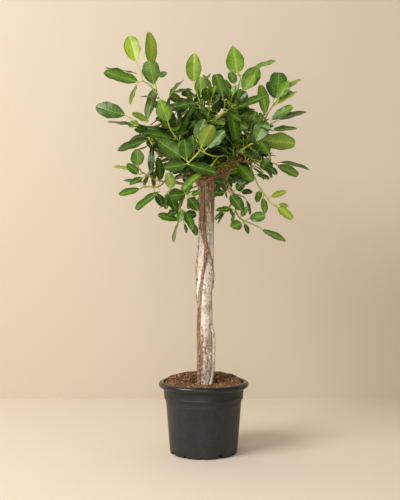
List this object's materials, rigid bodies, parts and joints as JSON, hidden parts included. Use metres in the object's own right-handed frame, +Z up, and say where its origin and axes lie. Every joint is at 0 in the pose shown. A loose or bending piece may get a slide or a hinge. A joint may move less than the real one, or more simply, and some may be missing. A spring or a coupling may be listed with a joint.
{
  "type": "potted tree",
  "caption": "Young banyan tree with a bare fused stem and a rounded leafy crown, rooted in a round black nursery pot.",
  "frame": {"origin": "centre of the pot's flat underside, on the floor", "axes": "+Z up the stem, -Y towards the front of the plant, +X to its right as seen from the front"},
  "size_m": [0.763, 0.6584, 1.5226],
  "materials": {
    "pot": "injection-moulded black polypropylene, satin",
    "soil": "damp coir and bark chips, rough",
    "bark": "pale ribbed bark with brown roots, rough",
    "leaf": "waxy leathery leaf, satin"
  },
  "bodies": {
    "root": {"pot": "pot", "shoot_centre_left": "leaf", "shoot_centre_right": "leaf", "shoot_centre_top": "leaf", "shoot_far_left": "leaf", "shoot_front_low": "leaf", "shoot_inner_01": "leaf", "shoot_inner_02": "leaf", "shoot_inner_03": "leaf", "shoot_inner_04": "leaf", "shoot_inner_05": "leaf", "shoot_inner_06": "leaf", "shoot_inner_07": "leaf", "shoot_inner_08": "leaf", "shoot_inner_09": "leaf", "shoot_inner_10": "leaf", "shoot_inner_11": "leaf", "shoot_inner_12": "leaf", "shoot_inner_13": "leaf", "shoot_inner_14": "leaf", "shoot_inner_15": "leaf", "shoot_inner_16": "leaf", "shoot_inner_17": "leaf", "shoot_inner_18": "leaf", "shoot_inner_19": "leaf", "shoot_inner_20": "leaf", "shoot_inner_21": "leaf", "shoot_inner_22": "leaf", "shoot_inner_23": "leaf", "shoot_inner_24": "leaf", "shoot_inner_25": "leaf", "shoot_inner_26": "leaf", "shoot_inner_27": "leaf", "shoot_inner_28": "leaf", "shoot_inner_29": "leaf", "shoot_inner_30": "leaf", "shoot_left_bright": "leaf", "shoot_left_dark": "leaf", "shoot_left_lances": "leaf", "shoot_left_low": "leaf", "shoot_left_round": "leaf", "shoot_left_twigs": "leaf", "shoot_low_left_hanging": "leaf", "shoot_low_right": "leaf", "shoot_low_right_side": "leaf", "shoot_low_right_tip": "leaf", "shoot_right_drooping": "leaf", "shoot_right_long": "leaf", "shoot_right_low": "leaf", "shoot_right_middle": "leaf", "shoot_right_pale": "leaf", "shoot_right_tall": "leaf", "shoot_top_centre": "leaf", "shoot_top_left": "leaf", "shoot_top_left_back": "leaf", "shoot_top_middle": "leaf", "shoot_top_right": "leaf", "soil": "soil", "trunk": "bark"}
  },
  "joints": []
}
